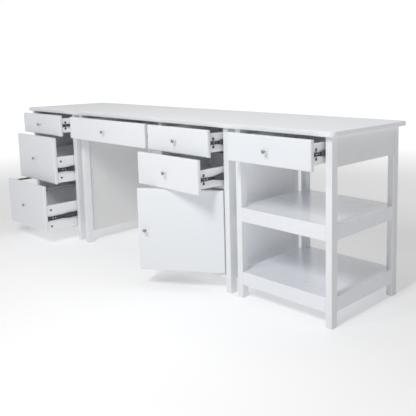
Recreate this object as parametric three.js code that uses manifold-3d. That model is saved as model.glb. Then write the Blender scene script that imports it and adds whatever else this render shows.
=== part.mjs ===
// Long sewing table: one continuous top over three carcasses that stand side by side.
//   drawer pedestal (left)  - three drawers, small / deep / deep
//   desk (middle)           - wide shallow drawer over the kneehole, then a cabinet with
//                             two drawers and a hinged door
//   shelf unit (right)      - one drawer over two open shelves
// Millimetres, +Z up. The table faces -Y, +X is the right-hand end, the floor is Z = 0.
// Every drawer and the door are drawn partly open: that is the zero of their travel.
import * as THREE from 'three';
import { mergeVertices } from 'three/addons/utils/BufferGeometryUtils.js';
import Module from 'manifold-3d';

const wasm = await Module();
wasm.setup();

// ---------------------------------------------------------------- driving dimensions
const HEIGHT = 762;            // floor to working surface
const TOP_LEN = 2352;
const TOP_DEPTH = 540;
const TOP_T = 20;
const TOP_EASE = 4;            // rounding of the top's edges
const TOP_CORNER_R = 26;       // plan radius of the top's corners
const OVER_SIDE = 18;          // top beyond the outer legs
const OVER_FRONT = 22;
const OVER_BACK = 44;
const LEG_W = 30;              // along the length
const LEG_D = 36;              // front to back
const LEG_EASE = 1.5;
const PEDESTAL_W = 506;        // left drawer pedestal, leg to leg
const GAP_PEDESTAL = 52;       // pedestal to desk
const DESK_W = 1208;
const GAP_SHELF = 44;          // desk to shelf unit
const SHELF_W = 506;
const PANEL_T = 16;            // side panels, bottoms, divider
const PANEL_SET = 2;           // panels sit this far inside the leg faces
const BACK_T = 8;
const PARTITION_FROM_RIGHT = 463; // partition's kneehole face to the desk's right face, without the leg set-back
const PARTITION_T = 20;
const UNDER = HEIGHT - TOP_T;  // underside of the top
const CARCASS_BOTTOM = 64;     // underside of the cabinets' bottoms and side panels
const FRONT_T = 18;            // drawer fronts and door
const FRONT_ROUND = 6.5;       // round-over of a front's face edges
const FRONT_BACK_EASE = 1.5;   // easing of its back edges
const FRONT_GAP = 5;           // drawer front to leg, each side
const DOOR_GAP = 3;            // door to stile
const STILE_W = 22;            // closing strip beside the door, on the partition
const SMALL_FRONT = [618, 735];    // bottom and top heights of each kind of front
const DEEP_FRONT_UP = [348, 612];
const DEEP_FRONT_LOW = [82, 345];
const MID_FRONT = [465, 614];
const DOOR_FRONT = [84, 461];
const BOX_LEN = 425;
const BOX_WALL = 12;
const BOX_FLOOR = 6;
const BOX_SIDE_GAP = 13;       // each side, taken by the ball-bearing slide
const SLIDE_H = 45;
const SLIDE_D = 8;
const SLIDE_T = 1.5;
const SLIDE_LIP = 5;
const SLIDE_LEN = 424;
const DOOR_OPEN_DEG = 31.4;
const DOOR_PIVOT_OUT = 3;      // pivot line ahead of the closed door's face
const APRON_BOTTOM = 625;
const MID_SHELF = [344, 404];
const LOW_SHELF = [62, 120];
const CLEAR = 0.3;             // gap between pieces that touch

// how far each drawer stands out of its closed place
const OPEN = {
  pedestal_top: 76, pedestal_middle: 121, pedestal_bottom: 199,
  pencil: 80, cabinet_top: 86, cabinet_lower: 146, shelf: 80,
};

// derived stations along the length, from the left end of the top
const PED_X0 = OVER_SIDE, PED_X1 = PED_X0 + PEDESTAL_W;
const DESK_X0 = PED_X1 + GAP_PEDESTAL, DESK_X1 = DESK_X0 + DESK_W;
const SHELF_X0 = DESK_X1 + GAP_SHELF, SHELF_X1 = SHELF_X0 + SHELF_W;
const PART_X0 = DESK_X1 - PARTITION_FROM_RIGHT - PARTITION_T, PART_X1 = PART_X0 + PARTITION_T;
const FRONT_Y = OVER_FRONT, BACK_Y = TOP_DEPTH - OVER_BACK;
const KNOB_OUT = 25;
// the origin: on the floor, under the middle of the table as drawn, open drawers included
const ORIGIN_Y = (TOP_DEPTH + FRONT_Y - OPEN.pedestal_bottom - KNOB_OUT) / 2;

// ---------------------------------------------------------------- finishes
const paint = (color, roughness = 0.42) => new THREE.MeshStandardMaterial({ color, roughness, metalness: 0 });
const TOP_PAINT = () => paint(0xe9ebee, 0.36);
const LEG_PAINT = () => paint(0xeef0f3);
const PANEL_PAINT = () => paint(0xe6e7e8, 0.48);
const FRONT_PAINT = () => paint(0xf0f1f4, 0.4);
const BOX_PAINT = () => paint(0xeceded, 0.55);
const NICKEL = () => new THREE.MeshStandardMaterial({ color: 0x8e9196, roughness: 0.3, metalness: 1 });
const BLACK_STEEL = () => new THREE.MeshStandardMaterial({ color: 0x1d1e20, roughness: 0.38, metalness: 0.9 });

// ---------------------------------------------------------------- helpers
const table = new THREE.Group();
table.position.set(-TOP_LEN / 2, -ORIGIN_Y, 0);

function solid(geometry) {
  const g = geometry.clone();
  g.deleteAttribute('normal');
  g.deleteAttribute('uv');
  const m = mergeVertices(g, 1e-4);
  return new wasm.Manifold(new wasm.Mesh({
    numProp: 3,
    vertProperties: new Float32Array(m.attributes.position.array),
    triVerts: new Uint32Array(m.index.array),
  }));
}
function geometryOf(manifold) {
  const mesh = manifold.getMesh();
  const g = new THREE.BufferGeometry();
  g.setAttribute('position', new THREE.BufferAttribute(new Float32Array(mesh.vertProperties), 3));
  g.setIndex(new THREE.BufferAttribute(new Uint32Array(mesh.triVerts), 1));
  g.computeVertexNormals();
  return g;
}
function block(x0, x1, y0, y1, z0, z1) {
  return new THREE.BoxGeometry(x1 - x0, y1 - y0, z1 - z0)
    .translate((x0 + x1) / 2, (y0 + y1) / 2, (z0 + z1) / 2);
}
function polygon(points) {
  const s = new THREE.Shape();
  points.forEach(([x, y], i) => (i ? s.lineTo(x, y) : s.moveTo(x, y)));
  s.closePath();
  return s;
}
function add(name, geometry, material, parent = table) {
  const mesh = new THREE.Mesh(geometry, material);
  mesh.name = name;
  parent.add(mesh);
  return mesh;
}
// front board: face at Y = 0 with a quarter-round along its four edges, mitred at the corners, back at Y = t
function frontBoard(w, t, h) {
  const R = FRONT_ROUND, n = 6, rings = [];
  for (let i = 0; i <= n; i++) {
    const a = (i / n) * Math.PI / 2;
    rings.push([R * (1 - Math.cos(a)), R * (1 - Math.sin(a))]);   // [Y, inset from the outline]
  }
  rings.push([t - FRONT_BACK_EASE, 0], [t, FRONT_BACK_EASE]);
  const v = [], idx = [];
  for (const [y, q] of rings) {
    const a = w / 2 - q, b = h / 2 - q;
    v.push(-a, y, -b, a, y, -b, a, y, b, -a, y, b);
  }
  const last = (rings.length - 1) * 4;
  idx.push(0, 1, 2, 0, 2, 3, last, last + 2, last + 1, last, last + 3, last + 2);
  for (let k = 0; k < rings.length - 1; k++) {
    for (let i = 0; i < 4; i++) {
      const p = k * 4 + i, q = k * 4 + ((i + 1) % 4);
      idx.push(p, p + 4, q, q, p + 4, q + 4);
    }
  }
  const g = new THREE.BufferGeometry();
  g.setAttribute('position', new THREE.BufferAttribute(new Float32Array(v), 3));
  g.setIndex(idx);
  g.computeVertexNormals();
  return g;
}

// ---------------------------------------------------------------- top
{
  const e = TOP_EASE, r = TOP_CORNER_R, s = new THREE.Shape();
  const x0 = e, x1 = TOP_LEN - e, y0 = e, y1 = TOP_DEPTH - e, q = Math.max(r - e, 1);
  s.moveTo(x0 + q, y0);
  s.lineTo(x1 - q, y0); s.absarc(x1 - q, y0 + q, q, -Math.PI / 2, 0, false);
  s.lineTo(x1, y1 - q); s.absarc(x1 - q, y1 - q, q, 0, Math.PI / 2, false);
  s.lineTo(x0 + q, y1); s.absarc(x0 + q, y1 - q, q, Math.PI / 2, Math.PI, false);
  s.lineTo(x0, y0 + q); s.absarc(x0 + q, y0 + q, q, Math.PI, Math.PI * 1.5, false);
  const g = new THREE.ExtrudeGeometry(s, {
    depth: TOP_T - 2 * e, bevelEnabled: true, bevelThickness: e, bevelSize: e, bevelSegments: 3, curveSegments: 8,
  });
  g.translate(0, 0, UNDER + e);
  add('tabletop', g, TOP_PAINT());
}

// ---------------------------------------------------------------- legs
function leg(name, x0, y0) {
  const e = LEG_EASE, x1 = x0 + LEG_W, y1 = y0 + LEG_D;
  const s = polygon([
    [x0 + e, y0], [x1 - e, y0], [x1, y0 + e], [x1, y1 - e],
    [x1 - e, y1], [x0 + e, y1], [x0, y1 - e], [x0, y0 + e],
  ]);
  const g = new THREE.ExtrudeGeometry(s, { depth: UNDER - CLEAR, bevelEnabled: false });
  add(name, g, LEG_PAINT());
}
for (const [unit, x0, x1] of [['pedestal', PED_X0, PED_X1], ['desk', DESK_X0, DESK_X1], ['shelf_unit', SHELF_X0, SHELF_X1]]) {
  leg(`${unit}_leg_front_left`, x0, FRONT_Y);
  leg(`${unit}_leg_front_right`, x1 - LEG_W, FRONT_Y);
  leg(`${unit}_leg_back_left`, x0, BACK_Y - LEG_D);
  leg(`${unit}_leg_back_right`, x1 - LEG_W, BACK_Y - LEG_D);
}

// ---------------------------------------------------------------- side panels, backs, bottoms
const SIDE_Y0 = FRONT_Y + LEG_D + CLEAR, SIDE_Y1 = BACK_Y - LEG_D - CLEAR;   // between front and back legs
const sidePanel = (name, x0, z0 = CARCASS_BOTTOM) =>
  add(name, block(x0, x0 + PANEL_T, SIDE_Y0, SIDE_Y1, z0, UNDER - CLEAR), PANEL_PAINT());
sidePanel('pedestal_left_panel', PED_X0 + PANEL_SET);
sidePanel('pedestal_right_panel', PED_X1 - PANEL_SET - PANEL_T);
sidePanel('desk_left_panel', DESK_X0 + PANEL_SET);
sidePanel('desk_right_panel', DESK_X1 - PANEL_SET - PANEL_T);
sidePanel('shelf_unit_left_apron', SHELF_X0 + PANEL_SET, APRON_BOTTOM);
sidePanel('shelf_unit_right_apron', SHELF_X1 - PANEL_SET - PANEL_T, APRON_BOTTOM);

const BACK_FACE = BACK_Y - PANEL_SET;      // outer face of backs
// the partition carries the strip that the door closes against
add('partition', geometryOf(
  solid(block(PART_X0, PART_X1, FRONT_Y, BACK_FACE, CARCASS_BOTTOM, UNDER - CLEAR))
    .add(solid(block(PART_X1 - 1, PART_X1 + STILE_W, FRONT_Y, FRONT_Y + FRONT_T, CARCASS_BOTTOM + PANEL_T + CLEAR, DOOR_FRONT[1] + 3 - CLEAR)))),
  PANEL_PAINT());
add('pedestal_back_panel', block(PED_X0 + LEG_W + CLEAR, PED_X1 - LEG_W - CLEAR, BACK_FACE - BACK_T, BACK_FACE, CARCASS_BOTTOM, UNDER - CLEAR), PANEL_PAINT());
add('cabinet_back_panel', block(PART_X1 + CLEAR, DESK_X1 - LEG_W - CLEAR, BACK_FACE - BACK_T, BACK_FACE, CARCASS_BOTTOM, UNDER - CLEAR), PANEL_PAINT());
add('kneehole_back_panel', block(DESK_X0 + LEG_W + CLEAR, PART_X0 - CLEAR, BACK_FACE - BACK_T, BACK_FACE, CARCASS_BOTTOM, UNDER - CLEAR), PANEL_PAINT());
add('shelf_unit_back_apron', block(SHELF_X0 + LEG_W + CLEAR, SHELF_X1 - LEG_W - CLEAR, BACK_FACE - PANEL_T, BACK_FACE, APRON_BOTTOM, UNDER - CLEAR), PANEL_PAINT());

// a flat board between the side panels, notched round the legs at the corners it meets
function flatBoard(x0, x1, y0, y1, z0, z1, notchLeft, notchRight) {
  // notchLeft / notchRight: X of the legs' inner faces on that side, or null where there are none
  const yf = FRONT_Y + LEG_D + CLEAR, yb = BACK_Y - LEG_D - CLEAR;
  const p = [];
  if (notchLeft === null) { p.push([x0, y0]); } else { p.push([x0, yf], [notchLeft, yf], [notchLeft, y0]); }
  if (notchRight === null) { p.push([x1, y0]); } else { p.push([notchRight, y0], [notchRight, yf], [x1, yf]); }
  if (notchRight === null) { p.push([x1, y1]); } else { p.push([x1, yb], [notchRight, yb], [notchRight, y1]); }
  if (notchLeft === null) { p.push([x0, y1]); } else { p.push([notchLeft, y1], [notchLeft, yb], [x0, yb]); }
  const g = new THREE.ExtrudeGeometry(polygon(p), { depth: z1 - z0, bevelEnabled: false });
  g.translate(0, 0, z0);
  return g;
}
const BOARD_Y0 = FRONT_Y + 1, BOARD_Y1 = BACK_FACE - BACK_T - CLEAR;
add('pedestal_bottom_panel', flatBoard(
  PED_X0 + PANEL_SET + PANEL_T + CLEAR, PED_X1 - PANEL_SET - PANEL_T - CLEAR, BOARD_Y0, BOARD_Y1,
  CARCASS_BOTTOM, CARCASS_BOTTOM + PANEL_T, PED_X0 + LEG_W + CLEAR, PED_X1 - LEG_W - CLEAR), PANEL_PAINT());
add('cabinet_bottom_panel', flatBoard(
  PART_X1 + CLEAR, DESK_X1 - PANEL_SET - PANEL_T - CLEAR, BOARD_Y0, BOARD_Y1,
  CARCASS_BOTTOM, CARCASS_BOTTOM + PANEL_T, null, DESK_X1 - LEG_W - CLEAR), PANEL_PAINT());
const DIVIDER_Z = DOOR_FRONT[1] + 3;
add('cabinet_divider', flatBoard(
  PART_X1 + CLEAR, DESK_X1 - PANEL_SET - PANEL_T - CLEAR, FRONT_Y + FRONT_T + 2, BOARD_Y1,
  DIVIDER_Z, DIVIDER_Z + PANEL_T, null, DESK_X1 - LEG_W - CLEAR), PANEL_PAINT());

// ---------------------------------------------------------------- open shelves: a board with a deep rim all round
function rimmedShelf(name, z0, z1) {
  const x0 = SHELF_X0 + 1, x1 = SHELF_X1 - 1, y0 = FRONT_Y + 1, y1 = BACK_Y - 1;
  const nl = SHELF_X0 + LEG_W + CLEAR, nr = SHELF_X1 - LEG_W - CLEAR;
  let s = solid(flatBoard(x0, x1, y0, y1, z0, z1, nl, nr));
  const pocket = solid(flatBoard(
    x0 + PANEL_T, x1 - PANEL_T, y0 + PANEL_T, y1 - PANEL_T, z0 - 1, z1 - PANEL_T, nl + PANEL_T, nr - PANEL_T));
  // the rim keeps its thickness round the leg notches
  const keep = [
    block(x0 - 1, nl + PANEL_T, y0 - 1, FRONT_Y + LEG_D + CLEAR + PANEL_T, z0 - 2, z1 + 1),
    block(nr - PANEL_T, x1 + 1, y0 - 1, FRONT_Y + LEG_D + CLEAR + PANEL_T, z0 - 2, z1 + 1),
    block(x0 - 1, nl + PANEL_T, BACK_Y - LEG_D - CLEAR - PANEL_T, y1 + 1, z0 - 2, z1 + 1),
    block(nr - PANEL_T, x1 + 1, BACK_Y - LEG_D - CLEAR - PANEL_T, y1 + 1, z0 - 2, z1 + 1),
  ].map(solid);
  let cut = pocket;
  for (const k of keep) cut = cut.subtract(k);
  s = s.subtract(cut);
  add(name, geometryOf(s), PANEL_PAINT());
}
rimmedShelf('middle_shelf', MID_SHELF[0], MID_SHELF[1]);
rimmedShelf('bottom_shelf', LOW_SHELF[0], LOW_SHELF[1]);

// ---------------------------------------------------------------- knob, turned, axis along -Y from the face at Y = 0
function knobGeometry() {
  const p = [
    [0, 0], [6.6, 0], [6.6, 1.5], [4.5, 2.9], [3.9, 7], [4.1, 11.5], [5.6, 14.2], [7.8, 16.2],
    [9, 18.6], [8.9, 20.8], [7.5, 23.1], [4.2, 24.6], [0, KNOB_OUT],
  ].map(([r, a]) => new THREE.Vector2(r, a));
  const g = new THREE.LatheGeometry(p, 20);   // axis +Y
  g.rotateX(Math.PI);                         // axis -Y
  return g;
}

// ---------------------------------------------------------------- drawers
// x0, x1: opening between the legs. front: bottom and top of the front. box: bottom and top of the box.
function drawer(name, x0, x1, front, box, open) {
  const group = new THREE.Group();
  group.position.set(0, FRONT_Y - open, 0);
  table.add(group);
  const w = x1 - x0 - 2 * FRONT_GAP, h = front[1] - front[0];
  const f = add(`${name}_front`, frontBoard(w, FRONT_T, h), FRONT_PAINT(), group);
  f.position.set((x0 + x1) / 2, 0, (front[0] + front[1]) / 2);
  const bx0 = x0 + BOX_SIDE_GAP, bx1 = x1 - BOX_SIDE_GAP, by0 = FRONT_T + CLEAR, by1 = FRONT_T + BOX_LEN;
  const shell = solid(block(bx0, bx1, by0, by1, box[0], box[1]))
    .subtract(solid(block(bx0 + BOX_WALL, bx1 - BOX_WALL, by0 + BOX_WALL, by1 - BOX_WALL, box[0] + BOX_FLOOR + 4, box[1] + 1)))
    .subtract(solid(block(bx0 + BOX_WALL, bx1 - BOX_WALL, by0 + BOX_WALL, by1 - BOX_WALL, box[0] - 1, box[0] + 4)));
  add(`${name}_box`, geometryOf(shell), BOX_PAINT(), group);
  const k = add(`${name}_knob`, knobGeometry(), NICKEL(), group);
  k.position.set((x0 + x1) / 2, -CLEAR, (front[0] + front[1]) / 2);
  k.scale.set(1, (KNOB_OUT - CLEAR) / KNOB_OUT, 1);
}
const SMALL_BOX = [638, 718];
const PED_IN = [PED_X0 + LEG_W, PED_X1 - LEG_W];
const CAB_IN = [PART_X1, DESK_X1 - LEG_W];
const SHELF_IN = [SHELF_X0 + LEG_W, SHELF_X1 - LEG_W];
drawer('pedestal_top_drawer', ...PED_IN, SMALL_FRONT, SMALL_BOX, OPEN.pedestal_top);
drawer('pedestal_middle_drawer', ...PED_IN, DEEP_FRONT_UP, [353, 501], OPEN.pedestal_middle);
drawer('pedestal_bottom_drawer', ...PED_IN, DEEP_FRONT_LOW, [83, 231], OPEN.pedestal_bottom);
drawer('pencil_drawer', DESK_X0 + LEG_W, PART_X0, SMALL_FRONT, SMALL_BOX, OPEN.pencil);
drawer('cabinet_top_drawer', ...CAB_IN, SMALL_FRONT, SMALL_BOX, OPEN.cabinet_top);
drawer('cabinet_lower_drawer', ...CAB_IN, MID_FRONT, [487, 567], OPEN.cabinet_lower);
drawer('shelf_drawer', ...SHELF_IN, SMALL_FRONT, SMALL_BOX, OPEN.shelf);

// ---------------------------------------------------------------- slide channels, screwed to the right-hand legs
function slideChannel(name, legFace, zMid) {
  const h = SLIDE_H / 2, t = SLIDE_T, d = SLIDE_D, l = SLIDE_LIP;
  // section in (depth from the leg, height): a C with turned lips
  const s = polygon([
    [0, -h], [d, -h], [d, -h + l], [d - t, -h + l], [d - t, -h + t], [t, -h + t],
    [t, h - t], [d - t, h - t], [d - t, h - l], [d, h - l], [d, h], [0, h],
  ]);
  const g = new THREE.ExtrudeGeometry(s, { depth: SLIDE_LEN, bevelEnabled: false });
  // section plane XY -> (-X, Z), extrusion -> +Y
  g.applyMatrix4(new THREE.Matrix4().set(
    -1, 0, 0, legFace - CLEAR,
    0, 0, 1, FRONT_Y + FRONT_T + 3,
    0, 1, 0, zMid,
    0, 0, 0, 1));
  add(name, g, BLACK_STEEL());
}
slideChannel('pedestal_top_slide', PED_IN[1], 678);
slideChannel('pedestal_middle_slide', PED_IN[1], 427);
slideChannel('pedestal_bottom_slide', PED_IN[1], 157);
slideChannel('cabinet_top_slide', CAB_IN[1], 678);
slideChannel('cabinet_lower_slide', CAB_IN[1], 527);
slideChannel('shelf_slide', SHELF_IN[1], 678);

// ---------------------------------------------------------------- door, hung on the cabinet's right-hand leg
{
  const pivot = new THREE.Group();
  const px = CAB_IN[1] - 1, py = FRONT_Y - DOOR_PIVOT_OUT;
  pivot.position.set(px, py, 0);
  pivot.rotation.z = THREE.MathUtils.degToRad(DOOR_OPEN_DEG);
  table.add(pivot);
  const x0 = CAB_IN[0] + STILE_W + DOOR_GAP - px, x1 = CAB_IN[1] - 2 - px;
  const h = DOOR_FRONT[1] - DOOR_FRONT[0], zc = (DOOR_FRONT[0] + DOOR_FRONT[1]) / 2;
  const d = add('door', frontBoard(x1 - x0, FRONT_T, h), FRONT_PAINT(), pivot);
  d.position.set((x0 + x1) / 2, DOOR_PIVOT_OUT, zc);
  const k = add('door_knob', knobGeometry(), NICKEL(), pivot);
  k.position.set(x0 + 38, DOOR_PIVOT_OUT - CLEAR, zc);
}
// concealed hinge arms: a foot on the leg's inner face and an arm that reaches the door's edge
function hingeArm(name, zMid) {
  const foot = solid(block(CAB_IN[1] - 8, CAB_IN[1] - CLEAR, FRONT_Y + FRONT_T + 4, FRONT_Y + LEG_D, zMid - 24, zMid + 24));
  const arm = solid(block(CAB_IN[1] - 20, CAB_IN[1] - 7, FRONT_Y + FRONT_T + 2, FRONT_Y + LEG_D - 1, zMid - 9, zMid + 9));
  add(name, geometryOf(foot.add(arm)), NICKEL());
}
hingeArm('hinge_arm_upper', DOOR_FRONT[1] - 70);
hingeArm('hinge_arm_lower', DOOR_FRONT[0] + 70);

export default table;
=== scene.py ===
import bpy, bmesh, math
from mathutils import Vector, Matrix


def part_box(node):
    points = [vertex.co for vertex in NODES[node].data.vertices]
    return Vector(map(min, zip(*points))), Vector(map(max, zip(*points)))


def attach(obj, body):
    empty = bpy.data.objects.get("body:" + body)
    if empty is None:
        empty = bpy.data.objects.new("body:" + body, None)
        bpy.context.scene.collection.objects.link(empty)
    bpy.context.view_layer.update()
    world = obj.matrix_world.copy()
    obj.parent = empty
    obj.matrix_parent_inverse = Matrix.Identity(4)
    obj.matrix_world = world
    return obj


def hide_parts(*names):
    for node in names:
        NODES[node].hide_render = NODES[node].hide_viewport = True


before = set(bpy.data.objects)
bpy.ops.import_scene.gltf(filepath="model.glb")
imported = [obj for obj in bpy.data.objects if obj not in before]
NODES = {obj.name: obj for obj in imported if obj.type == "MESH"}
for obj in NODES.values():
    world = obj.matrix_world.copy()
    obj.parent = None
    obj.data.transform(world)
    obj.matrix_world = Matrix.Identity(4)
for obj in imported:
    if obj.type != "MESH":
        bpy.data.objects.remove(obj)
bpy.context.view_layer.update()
scene = bpy.context.scene

# ------------------------------------------------------------------ camera
def rot_axes(yaw, pitch, roll):
    d = Vector((-math.sin(yaw) * math.cos(pitch), math.cos(yaw) * math.cos(pitch), -math.sin(pitch)))
    r = Vector((math.cos(yaw), math.sin(yaw), 0))
    u = r.cross(d)
    c, s = math.cos(roll), math.sin(roll)
    return c * r + s * u, -s * r + c * u, d

CAM_POS = Vector((2.44256, -1.89624, 1.00765))
CAM_YAW, CAM_PITCH, CAM_ROLL = 0.7516, 0.13947, -0.01433
CAM_F, CAM_PX, CAM_PY = 595.957, 262.0, 148.0      # focal length and principal point in a 416 px square frame
cam_data = bpy.data.cameras.new("camera")
cam_data.type = "PERSP"
cam_data.sensor_fit = "HORIZONTAL"
cam_data.sensor_width = 36.0
cam_data.lens = CAM_F / 416 * 36.0
cam_data.shift_x = (208 - CAM_PX) / 416
cam_data.shift_y = (CAM_PY - 208) / 416
cam_data.clip_end = 200
cam = bpy.data.objects.new("camera", cam_data)
scene.collection.objects.link(cam)
ax_r, ax_u, ax_d = rot_axes(CAM_YAW, CAM_PITCH, CAM_ROLL)
m = Matrix((ax_r, ax_u, -ax_d)).transposed().to_4x4()
m.translation = CAM_POS
cam.matrix_world = m
scene.camera = cam
scene.view_settings.view_transform = "Standard"
scene.view_settings.look = "None"
scene.view_settings.gamma = 1.4

# ------------------------------------------------------------------ materials
def new_mat(name):
    mat = bpy.data.materials.new(name)
    mat.use_nodes = True
    nt = mat.node_tree
    nt.nodes.clear()
    out = nt.nodes.new("ShaderNodeOutputMaterial")
    bsdf = nt.nodes.new("ShaderNodeBsdfPrincipled")
    nt.links.new(bsdf.outputs["BSDF"], out.inputs["Surface"])
    return mat, nt, bsdf

def coords(nt, scale, offset=(0, 0, 0)):
    tc = nt.nodes.new("ShaderNodeTexCoord")
    mp = nt.nodes.new("ShaderNodeMapping")
    mp.inputs["Scale"].default_value = scale
    mp.inputs["Location"].default_value = offset
    nt.links.new(tc.outputs["Object"], mp.inputs["Vector"])
    return mp.outputs["Vector"]

def noise(nt, vec, scale, detail=3.0, rough=0.55):
    n = nt.nodes.new("ShaderNodeTexNoise")
    n.inputs["Scale"].default_value = scale
    n.inputs["Detail"].default_value = detail
    n.inputs["Roughness"].default_value = rough
    nt.links.new(vec, n.inputs["Vector"])
    return n.outputs["Fac"]

def ramp(nt, fac, stops):
    r = nt.nodes.new("ShaderNodeValToRGB")
    el = r.color_ramp.elements
    while len(el) < len(stops):
        el.new(0.5)
    for e, (p, c) in zip(el, stops):
        e.position = p
        e.color = (*c, 1) if len(c) == 3 else c
    nt.links.new(fac, r.inputs["Fac"])
    return r.outputs["Color"]

def maprange(nt, fac, a, b, c, d):
    n = nt.nodes.new("ShaderNodeMapRange")
    n.inputs["From Min"].default_value = a
    n.inputs["From Max"].default_value = b
    n.inputs["To Min"].default_value = c
    n.inputs["To Max"].default_value = d
    nt.links.new(fac, n.inputs["Value"])
    return n.outputs["Result"]

def mix(nt, fac, a, b, mode="MIX"):
    n = nt.nodes.new("ShaderNodeMix")
    n.data_type = "RGBA"
    n.blend_type = mode
    for sock, v in (("Factor", fac), ("A", a), ("B", b)):
        s = [i for i in n.inputs if i.name == sock and (i.type == "RGBA" or sock == "Factor")][0]
        if isinstance(v, (int, float)):
            s.default_value = v
        elif isinstance(v, tuple):
            s.default_value = (*v, 1)
        else:
            nt.links.new(v, s)
    return [o for o in n.outputs if o.type == "RGBA"][0]

def painted_wood(name, base, rough=0.38, along="X", seed=0.0, tone=0.045, wear=0.35, coat=0.0, streak=1.0):
    """Sprayed and brushed paint over wood: long faint strokes and grain telegraphing through, fine orange peel,
    slightly thinner, warmer paint on the arrises, and a roughness that changes from place to place."""
    mat, nt, bsdf = new_mat(name)
    s = {"X": (2.2, 46, 46), "Y": (46, 2.2, 46), "Z": (46, 46, 2.2)}[along]
    off = (seed * 1.7, seed * 2.3, seed * 3.1)
    broad = noise(nt, coords(nt, (1, 1, 1), off), 1.6, 2.0)
    stroke = noise(nt, coords(nt, s, off), 3.0, 4.0, 0.6)
    fine = noise(nt, coords(nt, tuple(v * 3.2 for v in s), off), 5.0, 2.0, 0.5)
    peel = noise(nt, coords(nt, (1, 1, 1), off), 520.0, 2.0, 0.5)
    dark = tuple(c * (1 - tone) for c in base)
    lite = tuple(min(1, c * (1 + tone * 0.5)) for c in base)
    warm = (base[0] * 1.0, base[1] * 0.985, base[2] * 0.955)
    c1 = ramp(nt, broad, [(0.30, dark), (0.72, lite)])
    c2 = mix(nt, maprange(nt, stroke, 0.35, 0.7, 0.0, 0.16 * streak), c1, tuple(c * 0.9 for c in base))
    c3 = mix(nt, maprange(nt, fine, 0.45, 0.75, 0.0, 0.09 * streak), c2, warm)
    geo = nt.nodes.new("ShaderNodeNewGeometry")
    edge = maprange(nt, geo.outputs["Pointiness"], 0.515, 0.60, 0.0, 1.0)
    rub = nt.nodes.new("ShaderNodeMath")
    rub.operation = "MULTIPLY"
    nt.links.new(edge, rub.inputs[0])
    nt.links.new(maprange(nt, noise(nt, coords(nt, (1, 1, 1), off), 34.0, 4.0, 0.65), 0.48, 0.68, 0.0, wear), rub.inputs[1])
    c4 = mix(nt, rub.outputs[0], c3, (base[0] * 0.86, base[1] * 0.82, base[2] * 0.75))
    nt.links.new(c4, bsdf.inputs["Base Color"])
    nt.links.new(maprange(nt, stroke, 0.3, 0.75, rough - 0.05, rough + 0.09), bsdf.inputs["Roughness"])
    b1 = nt.nodes.new("ShaderNodeBump")
    b1.inputs["Strength"].default_value = 0.10
    b1.inputs["Distance"].default_value = 0.0003
    nt.links.new(peel, b1.inputs["Height"])
    b2 = nt.nodes.new("ShaderNodeBump")
    b2.inputs["Strength"].default_value = 0.16
    b2.inputs["Distance"].default_value = 0.0006
    nt.links.new(stroke, b2.inputs["Height"])
    nt.links.new(b1.outputs["Normal"], b2.inputs["Normal"])
    nt.links.new(b2.outputs["Normal"], bsdf.inputs["Normal"])
    bsdf.inputs["IOR"].default_value = 1.48
    if coat:
        bsdf.inputs["Coat Weight"].default_value = coat
        bsdf.inputs["Coat Roughness"].default_value = 0.25
    return mat

def metal(name, base, rough, brushed=(1, 1, 1), strength=0.10, seed=0.0, smudge=0.10):
    mat, nt, bsdf = new_mat(name)
    off = (seed, seed * 2, seed * 3)
    hair = noise(nt, coords(nt, brushed, off), 260.0, 3.0, 0.6)
    blot = noise(nt, coords(nt, (1, 1, 1), off), 42.0, 3.0, 0.6)
    c = mix(nt, maprange(nt, hair, 0.35, 0.7, 0.0, 0.35), base, tuple(v * 0.72 for v in base))
    c = mix(nt, maprange(nt, blot, 0.5, 0.75, 0.0, 0.4), c, tuple(min(1, v * 1.18) for v in base))
    nt.links.new(c, bsdf.inputs["Base Color"])
    bsdf.inputs["Metallic"].default_value = 1.0
    nt.links.new(maprange(nt, blot, 0.3, 0.75, rough - smudge * 0.5, rough + smudge), bsdf.inputs["Roughness"])
    b = nt.nodes.new("ShaderNodeBump")
    b.inputs["Strength"].default_value = strength
    b.inputs["Distance"].default_value = 0.0002
    nt.links.new(hair, b.inputs["Height"])
    nt.links.new(b.outputs["Normal"], bsdf.inputs["Normal"])
    return mat

def black_steel(name="black_passivated_steel"):
    mat, nt, bsdf = new_mat(name)
    draw = noise(nt, coords(nt, (60, 2, 60)), 12.0, 3.0, 0.6)
    blot = noise(nt, coords(nt, (1, 1, 1)), 60.0, 3.0, 0.6)
    c = mix(nt, maprange(nt, draw, 0.4, 0.7, 0.0, 0.6), (0.022, 0.023, 0.026), (0.050, 0.052, 0.057))
    c = mix(nt, maprange(nt, blot, 0.55, 0.8, 0.0, 0.5), c, (0.070, 0.071, 0.076))
    nt.links.new(c, bsdf.inputs["Base Color"])
    bsdf.inputs["Metallic"].default_value = 0.55
    nt.links.new(maprange(nt, draw, 0.3, 0.75, 0.28, 0.44), bsdf.inputs["Roughness"])
    b = nt.nodes.new("ShaderNodeBump")
    b.inputs["Strength"].default_value = 0.15
    b.inputs["Distance"].default_value = 0.0002
    nt.links.new(draw, b.inputs["Height"])
    nt.links.new(b.outputs["Normal"], bsdf.inputs["Normal"])
    return mat

def moulded(name, base, rough=0.42):
    mat, nt, bsdf = new_mat(name)
    tex = noise(nt, coords(nt, (1, 1, 1)), 900.0, 2.0, 0.5)
    big = noise(nt, coords(nt, (1, 1, 1)), 70.0, 3.0, 0.5)
    c = mix(nt, maprange(nt, big, 0.4, 0.7, 0.0, 0.5), base, tuple(v * 0.8 for v in base))
    nt.links.new(c, bsdf.inputs["Base Color"])
    nt.links.new(maprange(nt, big, 0.3, 0.7, rough - 0.06, rough + 0.08), bsdf.inputs["Roughness"])
    b = nt.nodes.new("ShaderNodeBump")
    b.inputs["Strength"].default_value = 0.2
    b.inputs["Distance"].default_value = 0.0002
    nt.links.new(tex, b.inputs["Height"])
    nt.links.new(b.outputs["Normal"], bsdf.inputs["Normal"])
    return mat

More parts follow.
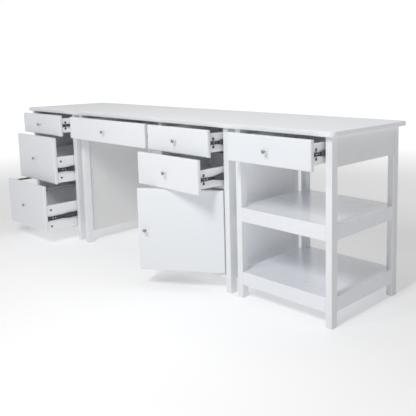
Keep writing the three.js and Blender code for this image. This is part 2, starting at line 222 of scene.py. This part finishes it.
# Painted light and shade: below, the one white paint is split into lighter and darker copies, piece by piece. The base
# colour is lowered where a piece lies in shade and raised where it is lit: fronts, legs, right apron, upright panels,
# inside panels and drawer boxes.
M_TOP = painted_wood("top_paint", (0.79, 0.818, 0.852), 0.34, "X", 1.0, 0.03, 0.30)
# painted shade: four copies of the front paint, each darker than the last, handed out to the fronts below
M_FRONT_SHADE_COPIES = [painted_wood(f"front_paint_{i}", (0.81 + d, 0.838 + d, 0.880 + d), 0.38, "X", 3.0 + i * 1.37, 0.035, 0.35)
           for i, d in enumerate((0, -0.015, -0.035, -0.060))]
FRONT_PAINTED_SHADE = {"pedestal_top_drawer": 2, "pedestal_middle_drawer": 2, "pedestal_bottom_drawer": 0, "pencil_drawer": 1,
              "cabinet_top_drawer": 1, "cabinet_lower_drawer": 0, "shelf_drawer": 3}
# painted light and shade: three copies of the leg paint, one a little darker and one a little lighter, handed round the
# legs in turn
M_LEG_LIT_SHADED = [painted_wood(f"leg_paint_{i}", (0.81 + d, 0.835 + d, 0.870 + d), 0.40, "Z", 11.0 + i * 2.1, 0.035, 0.45)
         for i, d in enumerate((0, -0.01, 0.006))]
# painted shade: a darker copy for the back right leg, whose side lies in shade
M_LEG_BACK_SHADED = painted_wood("leg_paint_back_painted_shade", (0.745, 0.755, 0.775), 0.42, "Z", 17.0, 0.035, 0.45)
# painted shade: a darker copy of the paint for the right apron, whose face lies in shade
M_APRON_R_SHADED = painted_wood("apron_paint_right_painted_shade", (0.755, 0.765, 0.785), 0.43, "Y", 29.0, 0.04, 0.3)
# painted shade: a much darker copy of the paint for the kneehole's side panel and the partition, which stand in shade
M_PANEL_Z_SHADED = painted_wood("panel_paint_upright_painted_shade", (0.70, 0.70, 0.70), 0.45, "Z", 21.0, 0.035, 0.3)
# painted light: a lighter copy of the paint for the pedestal sides, the desk's right side and the back panels, so the
# dim insides come out brighter
M_PANEL_IN_LIT = painted_wood("panel_paint_inside_painted_light", (0.87, 0.888, 0.925), 0.45, "Z", 23.0, 0.03, 0.3)
M_PANEL_X = painted_wood("panel_paint_level", (0.82, 0.83, 0.855), 0.43, "X", 25.0, 0.035, 0.3)
M_SHELF = painted_wood("shelf_paint", (0.81, 0.838, 0.895), 0.30, "X", 27.0, 0.05, 0.35, 0.5)
# painted light: a lighter copy of the paint for the drawer boxes, so their shaded insides come out brighter
M_BOX_LIT = painted_wood("drawer_box_painted_light", (0.885, 0.905, 0.935), 0.52, "Y", 31.0, 0.04, 0.25)
# painted reflection: the knob head's nickel is made dark and the neck's light, standing in for the dark and bright
# things the polished knob mirrors
M_NICKEL_HEAD_DARK_REFLECTION = metal("satin_nickel", (0.20, 0.205, 0.215), 0.24, (1, 1, 1), 0.05)
M_NICKEL_NECK_LIGHT_REFLECTION = metal("nickel_neck_painted_reflection", (0.62, 0.63, 0.64), 0.34, (1, 1, 1), 0.05, 2.0)
M_ZINC = metal("zinc_plate", (0.56, 0.57, 0.58), 0.34, (1, 1, 1), 0.06, 4.0)
M_GUN = metal("grey_steel", (0.24, 0.245, 0.26), 0.40, (1, 1, 1), 0.05, 9.0)
M_BALL = metal("bearing_steel", (0.62, 0.63, 0.65), 0.16, (1, 1, 1), 0.02, 7.0, 0.04)
M_BLACK = black_steel()
M_CAM = moulded("black_cam_lock", (0.018, 0.018, 0.020), 0.40)
M_CAM2 = moulded("cam_slot", (0.050, 0.050, 0.052), 0.35)
M_WPLASTIC = moulded("white_moulded_plastic", (0.74, 0.75, 0.75), 0.40)

# ------------------------------------------------------------------ CAD nodes: finish and eased arrises
def finish_node(name, mat, bevel=0.0012, segments=3):
    o = NODES[name]
    me = o.data
    me.materials.clear()
    me.materials.append(mat)
    if "custom_normal" in me.attributes:
        me.attributes.remove(me.attributes["custom_normal"])
    for p in me.polygons:
        p.use_smooth = True
    w = o.modifiers.new("weld", "WELD")
    w.merge_threshold = 0.00002
    if bevel:
        b = o.modifiers.new("arris", "BEVEL")
        b.width = bevel
        b.segments = segments
        b.limit_method = "ANGLE"
        b.angle_limit = math.radians(28)
        b.use_clamp_overlap = True
    n = o.modifiers.new("face_normals", "WEIGHTED_NORMAL")
    n.mode = "FACE_AREA"
    n.weight = 80
    return o

DRAWERS = ["pedestal_top_drawer", "pedestal_middle_drawer", "pedestal_bottom_drawer", "pencil_drawer",
           "cabinet_top_drawer", "cabinet_lower_drawer", "shelf_drawer"]
finish_node("tabletop", M_TOP, 0.0)
# painted light and shade: each leg gets one of the lighter or darker copies of the leg paint
for i, n in enumerate(sorted(k for k in NODES if "_leg_" in k and k != "shelf_unit_leg_back_right")):
    finish_node(n, M_LEG_LIT_SHADED[i % 3], 0.0009, 2)
# painted shade: the back right leg gets its darker paint
finish_node("shelf_unit_leg_back_right", M_LEG_BACK_SHADED, 0.0009, 2)
# painted shade: darker paint for the kneehole's side panel and the partition
for n in ("desk_left_panel", "partition"):
    finish_node(n, M_PANEL_Z_SHADED, 0.0008, 2)
# painted light: lighter paint for the inner sides and the back panels
for n in ("pedestal_left_panel", "pedestal_right_panel", "desk_right_panel", "pedestal_back_panel", "cabinet_back_panel",
          "kneehole_back_panel"):
    finish_node(n, M_PANEL_IN_LIT, 0.0008, 2)
# painted shade: the right apron gets its darker paint
finish_node("shelf_unit_right_apron", M_APRON_R_SHADED, 0.0008, 2)
for n in ("shelf_unit_back_apron", "shelf_unit_left_apron",
          "pedestal_bottom_panel", "cabinet_bottom_panel", "cabinet_divider"):
    finish_node(n, M_PANEL_X, 0.0008, 2)
for n in ("middle_shelf", "bottom_shelf"):
    finish_node(n, M_SHELF, 0.0012, 3)
for i, n in enumerate(DRAWERS):
    # painted shade: each front gets its own darker or lighter copy of the front paint
    finish_node(n + "_front", M_FRONT_SHADE_COPIES[FRONT_PAINTED_SHADE[n]], 0.0008, 2)
    # painted light: each drawer box gets the lighter box paint
    finish_node(n + "_box", M_BOX_LIT, 0.0008, 2)
# painted shade: the door gets the second, slightly darker copy of the front paint
finish_node("door", M_FRONT_SHADE_COPIES[1], 0.0008, 2)
for n in [k for k in NODES if k.endswith("_slide")]:
    finish_node(n, M_BLACK, 0.0002, 1)
for n in ("hinge_arm_upper", "hinge_arm_lower"):
    finish_node(n, M_ZINC, 0.0012, 3)

# ------------------------------------------------------------------ mesh helpers
def obj_from_bm(name, bm, mat, body, smooth_angle=None):
    me = bpy.data.meshes.new(name)
    bmesh.ops.recalc_face_normals(bm, faces=bm.faces)
    bm.to_mesh(me)
    bm.free()
    o = bpy.data.objects.new(name, me)
    scene.collection.objects.link(o)
    me.materials.append(mat)
    if smooth_angle is not None:
        me.shade_smooth()
        me.set_sharp_from_angle(angle=math.radians(smooth_angle))
    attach(o, body)
    return o

def bm_box(bm, lo, hi):
    vs = [bm.verts.new((x, y, z)) for x in (lo[0], hi[0]) for y in (lo[1], hi[1]) for z in (lo[2], hi[2])]
    f = [(0, 1, 3, 2), (4, 6, 7, 5), (0, 4, 5, 1), (2, 3, 7, 6), (0, 2, 6, 4), (1, 5, 7, 3)]
    for a in f:
        bm.faces.new([vs[i] for i in a])

def bm_lathe(bm, profile, centre, axis, ref, seg=48):
    """profile: (radius, distance along axis) from the first pole to the last; both ends on the axis."""
    axis = Vector(axis).normalized()
    u = Vector(ref).normalized()
    v = axis.cross(u)
    c = Vector(centre)
    rings = []
    for r, a in profile:
        if r <= 1e-9:
            rings.append([bm.verts.new(c + axis * a)])
        else:
            rings.append([bm.verts.new(c + axis * a + u * (r * math.cos(2 * math.pi * k / seg)) + v * (r * math.sin(2 * math.pi * k / seg)))
                          for k in range(seg)])
    for p, q in zip(rings, rings[1:]):
        if len(p) == 1 and len(q) == 1:
            continue
        for k in range(seg):
            k2 = (k + 1) % seg
            if len(p) == 1:
                bm.faces.new((p[0], q[k2], q[k]))
            elif len(q) == 1:
                bm.faces.new((p[k], p[k2], q[0]))
            else:
                bm.faces.new((p[k], p[k2], q[k2], q[k]))

def bm_extrude_section(bm, pts, y0, y1):
    """closed outline pts of (x, z), swept from y0 to y1"""
    a = [bm.verts.new((x, y0, z)) for x, z in pts]
    b = [bm.verts.new((x, y1, z)) for x, z in pts]
    n = len(pts)
    for i in range(n):
        j = (i + 1) % n
        bm.faces.new((a[i], a[j], b[j], b[i]))
    bm.faces.new(a)
    bm.faces.new(list(reversed(b)))

def c_section(x_web, x_lip, zc, half, t, lip=0.0):
    """C outline in (x, z): web at x_web, flanges reaching x_lip, optional turned lips"""
    s = 1 if x_lip > x_web else -1
    if lip:
        return [(x_web, zc - half), (x_lip, zc - half), (x_lip, zc - half + lip), (x_lip - s * t, zc - half + lip),
                (x_lip - s * t, zc - half + t), (x_web + s * t, zc - half + t), (x_web + s * t, zc + half - t),
                (x_lip - s * t, zc + half - t), (x_lip - s * t, zc + half - lip), (x_lip, zc + half - lip),
                (x_lip, zc + half), (x_web, zc + half)]
    return [(x_web, zc - half), (x_lip, zc - half), (x_lip, zc - half + t), (x_web + s * t, zc - half + t),
            (x_web + s * t, zc + half - t), (x_lip, zc + half - t), (x_lip, zc + half), (x_web, zc + half)]

# ------------------------------------------------------------------ knobs: turned nickel, with a dark reflection painted into the head and a bright one into the neck
KNOB = [(0, 0.0003), (0.0060, 0.0003), (0.0064, 0.0005), (0.0066, 0.0009), (0.0065, 0.0015), (0.0060, 0.0020), (0.0051, 0.0026), (0.0044, 0.0037),
        (0.0040, 0.0056), (0.0038, 0.0080), (0.0039, 0.0104), (0.0043, 0.0124), (0.0052, 0.0140), (0.0064, 0.0153),
        (0.0076, 0.0163), (0.0085, 0.0175), (0.0089, 0.0190), (0.0089, 0.0203), (0.0084, 0.0217), (0.0074, 0.0229),
        (0.0060, 0.0238), (0.0043, 0.02435), (0.0026, 0.02458), (0.0011, 0.02466), (0, 0.02467)]
def knob(name, base, axis, body):
    bm = bmesh.new()
    ref = Vector((0, 0, 1))
    bm_lathe(bm, KNOB, base, axis, ref, 56)
    o = obj_from_bm(name + "_turned", bm, M_NICKEL_HEAD_DARK_REFLECTION, body, 40)
    o.data.materials.append(M_NICKEL_NECK_LIGHT_REFLECTION)       # painted reflection: base and neck lighter than the head
    a = Vector(axis).normalized()
    for f in o.data.polygons:
        if (f.center - Vector(base)).dot(a) < 0.0150:
            f.material_index = 1
    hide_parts(name)
    return o

for d in DRAWERS:
    lo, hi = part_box(d + "_knob")
    knob(d + "_knob", Vector(((lo.x + hi.x) / 2, hi.y + 0.0003, (lo.z + hi.z) / 2)), (0, -1, 0), d)
DOOR_A = math.radians(31.4)
dn = Vector((math.sin(DOOR_A), -math.cos(DOOR_A), 0))      # the open door's outward direction
dt = Vector((-math.cos(DOOR_A), -math.sin(DOOR_A), 0))     # from hinge to free edge
PIVOT = Vector((1.753 - 1.176, 0.019 - 0.169, 0))
lo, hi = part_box("door")
ZD0, ZD1 = lo.z, hi.z
ZDC = (lo.z + hi.z) / 2
DOOR_W = 0.406
door_face = PIVOT - dn * 0.003                             # on the door's front face, at the pivot
knob("door_knob", door_face + dt * (DOOR_W + 0.001 - 0.038) + Vector((0, 0, ZDC)) + dn * 0.0, dn, "door")

# ------------------------------------------------------------------ ball-bearing slides
def screw_head(bm, c, n, r=0.0036, h=0.0016, seg=20):
    ref = Vector((0, 0, 1))
    bm_lathe(bm, [(0, 0), (r, 0), (r, h * 0.35), (r * 0.86, h * 0.75), (r * 0.55, h * 0.97), (r * 0.30, h), (r * 0.22, h * 0.45), (0, h * 0.4)], c, n, ref, seg)

def slide_set(d, side, cad_outer):
    lo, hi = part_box(d + "_box")
    sg = 1 if side == "right" else -1
    xb = hi.x if sg > 0 else lo.x                 # box side
    X = lambda a: xb + sg * a                     # a: distance out from the box side
    zc = (lo.z + hi.z) / 2
    y0, y1 = lo.y, hi.y
    leg_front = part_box("pedestal_leg_front_left")[0].y
    small = (hi.z - lo.z) < 0.1
    hi_in, hi_mid, nose = (0.0072, 0.0165, 0.046) if small else (0.0118, 0.0160, 0.022)
    # drawer member: open C on the box side, with a wider fixing tab at its front end
    bm = bmesh.new()
    bm_extrude_section(bm, c_section(X(0.0002), X(0.0074), zc, hi_in, 0.0012), y0 + 0.0095, y0 + 0.421)
    bm_extrude_section(bm, c_section(X(0.0002), X(0.0050), zc, hi_in + 0.003, 0.0012), y0 + 0.0010, y0 + 0.0092)
    o = obj_from_bm(f"{d}_slide_{side}_inner", bm, M_BLACK, d)
    b = o.modifiers.new("fold", "BEVEL"); b.width = 0.0005; b.segments = 2; b.limit_method = "ANGLE"
    if small:                                     # upright strap under its front end, held by the two cam locks
        bm = bmesh.new()
        bm_box(bm, (min(X(0.0001), X(0.0008)), y0 + 0.0195, zc - 0.0180), (max(X(0.0001), X(0.0008)), y0 + 0.0245, zc + 0.0180))
        obj_from_bm(f"{d}_slide_{side}_strap", bm, M_BLACK, d)
    # release lever half way along it
    bm = bmesh.new()
    yl = y0 + 0.235
    bm_extrude_section(bm, [(X(0.0016), zc - 0.004), (X(0.0046), zc - 0.004), (X(0.0050), zc), (X(0.0046), zc + 0.004), (X(0.0016), zc + 0.004)], yl, yl + 0.05)
    obj_from_bm(f"{d}_slide_{side}_lever", bm, M_CAM, d)
    # screws through the drawer member
    bm = bmesh.new()
    for dy in ((0.025, 0.041, 0.16, 0.35) if small else (0.034, 0.050, 0.16, 0.35)):
        screw_head(bm, (X(0.0015), y0 + dy, zc), (sg, 0, 0), 0.0030)
    obj_from_bm(f"{d}_slide_{side}_screws", bm, M_ZINC, d, 35)
    # middle member, half way out
    out = leg_front - (y0 - 0.0183)               # how far the drawer stands out
    ym0 = leg_front + 0.021 - out * 0.5
    back = "pedestal_back_panel" if d.startswith("pedestal") else "cabinet_back_panel" if d.startswith("cabinet") else \
        "kneehole_back_panel" if d.startswith("pencil") else "shelf_unit_back_apron"
    ym1 = min(ym0 + 0.400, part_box(back)[0].y - 0.003 - out)      # clears the back when the drawer is shut
    bm = bmesh.new()
    # its nose tapers from the drawer member's height to its own full height
    secs = []
    for y, h in ((ym0, hi_in + 0.0012), (ym0 + nose, hi_mid), (ym1, hi_mid)):
        secs.append([bm.verts.new((x, y, z)) for x, z in c_section(X(0.0105), X(0.0036), zc, h, 0.0012)])
    for a, c in zip(secs, secs[1:]):
        for i in range(len(a)):
            j = (i + 1) % len(a)
            bm.faces.new((a[i], a[j], c[j], c[i]))
    bm.faces.new(secs[0])
    bm.faces.new(list(reversed(secs[-1])))
    o = obj_from_bm(f"{d}_slide_{side}_middle", bm, M_BLACK, d)
    b = o.modifiers.new("fold", "BEVEL"); b.width = 0.0005; b.segments = 2; b.limit_method = "ANGLE"
    # ball rows and their cage between the members, seen at the end of the nose
    bm = bmesh.new()
    zr = hi_mid - 0.0024
    for row in (-1, 1):
        for k in range(9):
            c = Vector((X(0.0060), ym0 + nose + 0.006 + k * 0.0062, zc + row * zr))
            r = 0.00112
            prof = [(0, -r)] + [(r * math.cos(t), r * math.sin(t)) for t in (-1.05, -0.52, 0, 0.52, 1.05)] + [(0, r)]
            bm_lathe(bm, prof, c, (1, 0, 0), (0, 0, 1), 10)
    obj_from_bm(f"{d}_slide_{side}_balls", bm, M_BALL, d, 60)
    bm = bmesh.new()
    for row in (-1, 1):
        z = zc + row * zr
        for k in range(10):
            y = ym0 + nose + 0.0029 + k * 0.0062
            bm_box(bm, (min(X(0.0050), X(0.0070)), y - 0.0017, z - 0.0009), (max(X(0.0050), X(0.0070)), y + 0.0017, z + 0.0009))
    obj_from_bm(f"{d}_slide_{side}_cage", bm, M_BLACK, d)
    # cabinet member where the CAD holds none
    if not cad_outer:
        bm = bmesh.new()
        bm_extrude_section(bm, c_section(X(0.0127), X(0.0047), zc, 0.0225, 0.0015, 0.005), leg_front + 0.021, leg_front + 0.445)
        obj_from_bm(f"{d}_slide_{side}_outer", bm, M_BLACK, "carcass")
    bm = bmesh.new()
    for yy in (leg_front + 0.028, leg_front + 0.437):
        screw_head(bm, (X(0.0111), yy, zc), (-sg, 0, 0), 0.0036, 0.0005)
    obj_from_bm(f"{d}_slide_{side}_leg_screws", bm, M_ZINC, "carcass", 35)

CAD_SLIDES = {"pedestal_top_drawer", "pedestal_middle_drawer", "pedestal_bottom_drawer", "cabinet_top_drawer",
              "cabinet_lower_drawer", "shelf_drawer"}
for d in DRAWERS:
    for side in ("right", "left"):
        slide_set(d, side, side == "right" and d in CAD_SLIDES)

# ------------------------------------------------------------------ screws round the edges of the three back panels
for n in ("pedestal_back_panel", "cabinet_back_panel", "kneehole_back_panel"):
    lo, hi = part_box(n)
    bm = bmesh.new()
    spots = []
    for x in (lo.x + 0.012, hi.x - 0.012):
        k = 5
        spots += [(x, lo.z + 0.02 + (hi.z - lo.z - 0.04) * i / (k - 1)) for i in range(k)]
    k = max(2, round((hi.x - lo.x) / 0.2))
    for z in (lo.z + 0.012, hi.z - 0.012):
        spots += [(lo.x + (hi.x - lo.x) * i / k, z) for i in range(1, k)]
    for x, z in spots:
        screw_head(bm, (x, hi.y + 0.0001, z), (0, 1, 0), 0.0032, 0.0007)
    obj_from_bm(n + "_screws", bm, M_ZINC, "carcass", 35)

# ------------------------------------------------------------------ cam locks that hold the fronts on, one above and one below each slide
def cam_lock(bm, c, n, r=0.0066, h=0.0011):
    n = Vector(n)
    bm_lathe(bm, [(0, 0), (r, 0), (r, h * 0.6), (r * 0.93, h), (r * 0.74, h), (r * 0.70, h * 0.72), (0, h * 0.72)], c, n, (0, 0, 1), 40)
def cam_cross(bm, c, n, r=0.0066, h=0.0011):
    n = Vector(n)
    s = 1 if n.x > 0 else -1
    for a, b in ((r * 0.52, r * 0.09), (r * 0.09, r * 0.52)):
        lo = (min(c[0] + s * h * 0.72, c[0] + s * h * 1.0), c[1] - a, c[2] - b)
        hi = (max(c[0] + s * h * 0.72, c[0] + s * h * 1.0), c[1] + a, c[2] + b)
        bm_box(bm, lo, hi)
for d in DRAWERS:
    lo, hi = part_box(d + "_box")
    zc, half = (lo.z + hi.z) / 2, (hi.z - lo.z) / 2
    dz = 0.047 if half > 0.06 else 0.0180
    ya = 0.025 if half > 0.06 else 0.022
    for side, xb, n in (("right", hi.x, (1, 0, 0)), ("left", lo.x, (-1, 0, 0))):
        bm, bc = bmesh.new(), bmesh.new()
        for s in (-1, 1):
            cam_lock(bm, (xb + n[0] * 0.0002, lo.y + ya, zc + s * dz), n)
            cam_cross(bc, (xb + n[0] * 0.0002, lo.y + ya, zc + s * dz), n)
        obj_from_bm(f"{d}_cams_{side}", bm, M_CAM, d, 35)
        obj_from_bm(f"{d}_cam_slots_{side}", bc, M_CAM2, d)

# ------------------------------------------------------------------ hanging-file rails of the deep bottom drawer
def file_rails(d):
    (flo, fhi), (blo, bhi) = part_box(d + "_front"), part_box(d + "_box")
    z1 = fhi.z - 0.011
    z0 = z1 - 0.012
    for side, x in (("left", blo.x + 0.006), ("right", bhi.x - 0.006)):
        # grey flat bar on edge between a black rolled top and a black bottom lip; the bottom lip is painted shade, a
        # black strip where the bar's shadow falls
        bm = bmesh.new()
        bm_box(bm, (x - 0.0008, blo.y + 0.0005, z0 + 0.0018), (x + 0.0008, bhi.y - 0.004, z1 - 0.0024))
        obj_from_bm(f"{d}_file_rail_web_{side}", bm, M_GUN, d)
        bm = bmesh.new()
        bm_extrude_section(bm, [(x - 0.0021, z1 - 0.0024), (x + 0.0021, z1 - 0.0024), (x + 0.0021, z1 - 0.0006), (x + 0.0015, z1),
                                (x - 0.0015, z1), (x - 0.0021, z1 - 0.0006)], blo.y + 0.0005, bhi.y - 0.004)
        # painted shade: the black bottom lip stands where the shadow under the bar falls
        bm_box(bm, (x - 0.0014, blo.y + 0.0005, z0), (x + 0.0014, bhi.y - 0.004, z0 + 0.0018))
        obj_from_bm(f"{d}_file_rail_{side}", bm, M_BLACK, d)
        # tab against the drawer front, post on the back corner of the box
        bm = bmesh.new()
        bm_box(bm, (x - 0.0040, blo.y + 0.0003, z0 + 0.0010), (x + 0.0040, blo.y + 0.0015, z1 - 0.0004))
        bm_box(bm, (x - 0.0010, bhi.y - 0.0095, bhi.z + 0.0003), (x + 0.0010, bhi.y - 0.0045, z0 - 0.0002))
        o = obj_from_bm(f"{d}_file_rail_posts_{side}", bm, M_GUN, d)
        b = o.modifiers.new("arris", "BEVEL"); b.width = 0.0003; b.segments = 2; b.limit_method = "ANGLE"
file_rails("pedestal_bottom_drawer")

# ------------------------------------------------------------------ concealed hinges: cup and link on the door
def door_pt(along, out, z):
    return PIVOT + dt * along + dn * out + Vector((0, 0, z))
BACK = -0.003 - 0.018                                       # the door's back face, measured along dn from the pivot
for nm, z in (("upper", ZD1 - 0.070), ("lower", ZD0 + 0.070)):
    bm = bmesh.new()
    bm_lathe(bm, [(0, 0), (0.0175, 0), (0.0190, 0.0003), (0.0190, 0.0011), (0.0178, 0.0016), (0.0160, 0.0016), (0.0152, 0.0008), (0, 0.0008)],
             door_pt(0.0245, BACK - 0.0003, z), -dn, (0, 0, 1), 40)
    obj_from_bm(f"hinge_cup_{nm}", bm, M_ZINC, "door", 35)
    bm = bmesh.new()
    for s in (-1, 1):
        screw_head(bm, door_pt(0.0305, BACK - 0.0003, z + s * 0.0225), -dn, 0.0036, 0.0018)
    obj_from_bm(f"hinge_cup_screws_{nm}", bm, M_ZINC, "door", 35)

# ------------------------------------------------------------------ magnetic catch under the divider, strike plate on the door
lo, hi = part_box("cabinet_divider")
bm = bmesh.new()
cx = lo.x + 0.060
bm_box(bm, (cx - 0.023, lo.y + 0.002, lo.z - 0.0125), (cx + 0.023, lo.y + 0.016, lo.z - 0.0003))
o = obj_from_bm("door_catch", bm, M_WPLASTIC, "carcass")
b = o.modifiers.new("arris", "BEVEL"); b.width = 0.0015; b.segments = 3; b.limit_method = "ANGLE"
bm = bmesh.new()
q = door_pt(1.753 - 1.3813, BACK - 0.0002, lo.z - 0.006)
for s in (0,):
    c = [q + dt * a + Vector((0, 0, b_)) - dn * h for h in (0, 0.0012) for a, b_ in ((-0.018, -0.006), (0.018, -0.006), (0.018, 0.005), (-0.018, 0.005))]
    vs = [bm.verts.new(v) for v in c]
    for f in ((0, 1, 2, 3), (7, 6, 5, 4), (0, 4, 5, 1), (1, 5, 6, 2), (2, 6, 7, 3), (3, 7, 4, 0)):
        bm.faces.new([vs[i] for i in f])
o = obj_from_bm("door_strike_plate", bm, M_ZINC, "door")
b = o.modifiers.new("arris", "BEVEL"); b.width = 0.0004; b.segments = 2; b.limit_method = "ANGLE"

# ------------------------------------------------------------------ floor, world, lights
FLOOR_PAINTED_GLOW_NEAR, FLOOR_PAINTED_GLOW_FAR = 0.24, 0.62           # painted light: the floor itself glows, weaker near the table and stronger far behind it, in place of a lit white sweep
def floor_mat():
    mat, nt, bsdf = new_mat("pale_floor")
    n = noise(nt, coords(nt, (1, 1, 1)), 3.0, 3.0)
    nt.links.new(ramp(nt, n, [(0.3, (0.90, 0.90, 0.905)), (0.7, (0.92, 0.92, 0.925))]), bsdf.inputs["Base Color"])
    bsdf.inputs["Roughness"].default_value = 0.75
    bsdf.inputs["Emission Color"].default_value = (1, 1, 1, 1)
    # painted light: emission that grows with distance from the table
    geo = nt.nodes.new("ShaderNodeNewGeometry")
    far = nt.nodes.new("ShaderNodeVectorMath")
    far.operation = "LENGTH"
    nt.links.new(geo.outputs["Position"], far.inputs[0])
    painted_glow = nt.nodes.new("ShaderNodeMath")
    painted_glow.operation = "ADD"
    nt.links.new(maprange(nt, far.outputs["Value"], 1.6, 4.5, FLOOR_PAINTED_GLOW_NEAR, FLOOR_PAINTED_GLOW_FAR), painted_glow.inputs[0])
    nt.links.new(maprange(nt, far.outputs["Value"], 2.6, 5.5, 0.0, 0.35), painted_glow.inputs[1])
    nt.links.new(painted_glow.outputs[0], bsdf.inputs["Emission Strength"])
    return mat
bm = bmesh.new()
bmesh.ops.create_circle(bm, cap_ends=True, segments=96, radius=60.0)
me = bpy.data.meshes.new("floor")
bm.to_mesh(me); bm.free()
floor = bpy.data.objects.new("floor", me)
floor.location = (0, 0, -0.0005)
scene.collection.objects.link(floor)
me.materials.append(floor_mat())

GLOSSY_SHARE = 0.82
world = bpy.data.worlds.new("studio")
world.use_nodes = True
wn = world.node_tree
wn.nodes.clear()
wo = wn.nodes.new("ShaderNodeOutputWorld")
bg = wn.nodes.new("ShaderNodeBackground")
bg.inputs["Color"].default_value = (0.98, 0.99, 1.0, 1)
bg.inputs["Strength"].default_value = 0.05
backdrop = wn.nodes.new("ShaderNodeBackground")     # the white backdrop itself, seen directly
backdrop.inputs["Color"].default_value = (1, 1, 1, 1)
backdrop.inputs["Strength"].default_value = 1.0
ray = wn.nodes.new("ShaderNodeLightPath")
pick = wn.nodes.new("ShaderNodeMixShader")
pick_fac = wn.nodes.new("ShaderNodeMath")           # seen directly: white; in reflections: partly
pick_fac.operation = "MULTIPLY_ADD"
pick_fac.use_clamp = True
wn.links.new(ray.outputs["Is Glossy Ray"], pick_fac.inputs[0])
pick_fac.inputs[1].default_value = GLOSSY_SHARE
wn.links.new(ray.outputs["Is Camera Ray"], pick_fac.inputs[2])
wn.links.new(pick_fac.outputs[0], pick.inputs["Fac"])
wn.links.new(bg.outputs[0], pick.inputs[1])
wn.links.new(backdrop.outputs[0], pick.inputs[2])
wn.links.new(pick.outputs[0], wo.inputs["Surface"])
scene.world = world

def area(name, loc, target, size, power, color=(1, 1, 1)):
    l = bpy.data.lights.new(name, "AREA")
    l.shape = "RECTANGLE"
    l.size, l.size_y = size
    l.energy = power
    l.color = color
    o = bpy.data.objects.new(name, l)
    scene.collection.objects.link(o)
    o.location = loc
    o.rotation_euler = (Vector(target) - Vector(loc)).to_track_quat("-Z", "Y").to_euler()
    return o
area("key", (1.2, -2.2, 2.5), (0.6, 0, 0.4), (0.5, 0.9), 45)
area("key_mid", (0.2, -2.2, 2.5), (0.1, 0, 0.4), (0.5, 0.9), 12)
area("overhead", (0.1, 0.2, 3.2), (0.1, 0.1, 0), (3.4, 2.2), 24)
